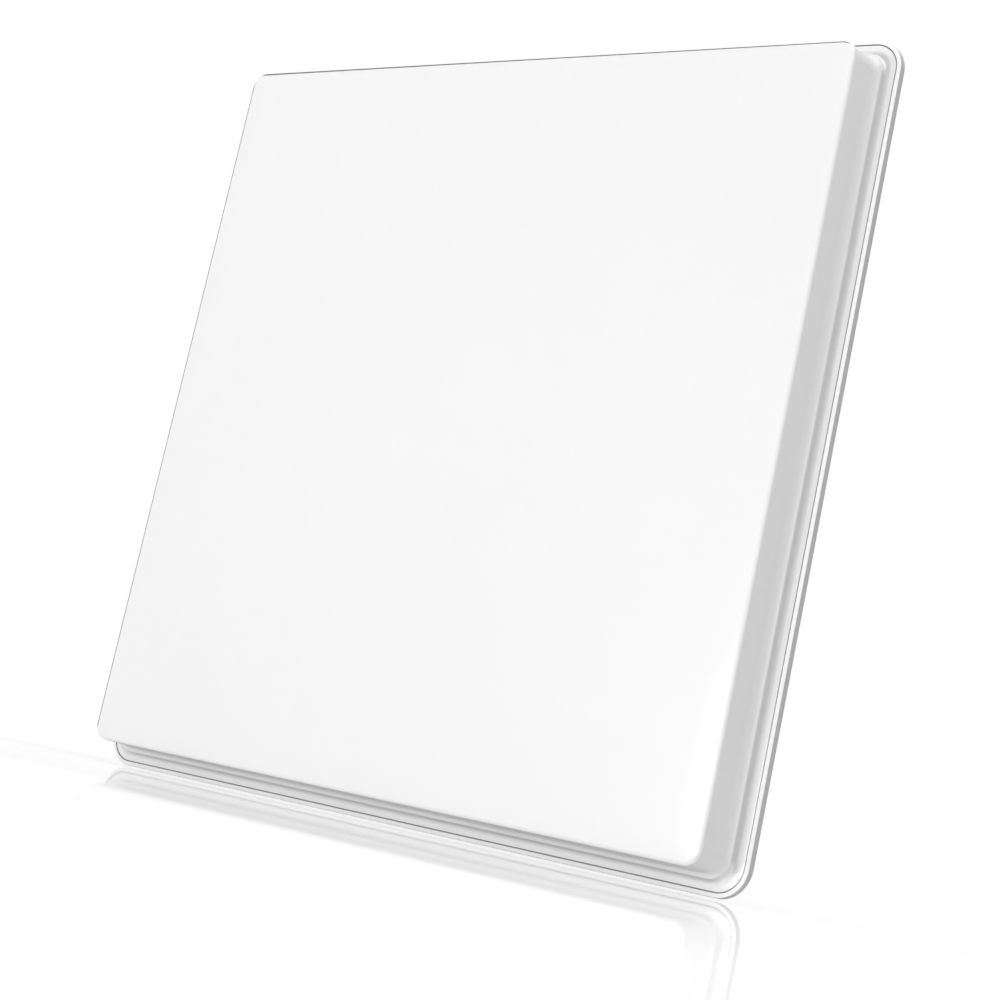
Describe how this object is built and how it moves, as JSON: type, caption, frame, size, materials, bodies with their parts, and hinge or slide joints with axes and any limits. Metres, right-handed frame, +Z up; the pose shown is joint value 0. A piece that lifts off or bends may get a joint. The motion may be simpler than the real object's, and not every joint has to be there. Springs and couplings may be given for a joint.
{
  "type": "flat satellite antenna",
  "caption": "Flat square satellite antenna: raised white front cover seated in the lip of a shallow rear case, horn array and receiver inside.",
  "frame": {"origin": "centre of the four bracket bolt holes, on the rear face of the mounting plate", "axes": "+X right seen from the front, -Y forward along the direction of reception, +Z up"},
  "size_m": [0.53, 0.0579, 0.53],
  "materials": {
    "cover_plastic": "satin white weatherproof plastic",
    "case_plastic": "fine grained light grey plastic, white on the front of the lip",
    "foam": "closed cell foam",
    "plated_plastic": "metal plated",
    "sheet_metal": "mill finish",
    "zinc_steel": "zinc plated",
    "stainless": "plain",
    "seal_rubber": "matt",
    "brass": "turned",
    "black_plastic": "matt",
    "cast_metal": "die cast",
    "board": "solder mask",
    "nickel": "nickel plated",
    "white_insulator": "waxy"
  },
  "bodies": {
    "root": {"radome": "cover_plastic", "rear_case": "case_plastic", "foam_spacer": "foam", "horn_plate": "plated_plastic", "feed_plate_front": "plated_plastic", "feed_plate_rear": "plated_plastic", "back_plate": "sheet_metal", "stack_screws": "zinc_steel", "rim_seal": "seal_rubber", "case_screws": "stainless", "array_screws": "stainless", "mount_plate": "zinc_steel", "mount_inserts": "brass", "plate_screws": "stainless", "vent_plug": "black_plastic", "lnb_body": "cast_metal", "lnb_board": "board", "lnb_cover": "cast_metal", "lnb_gasket": "seal_rubber", "lnb_probes": "brass", "lnb_screws": "zinc_steel", "output_body_left": "nickel", "output_body_right": "nickel", "output_seals": "seal_rubber", "output_washers": "nickel", "output_nuts": "nickel", "output_insulators": "white_insulator", "output_contacts": "brass"}
  },
  "joints": []
}
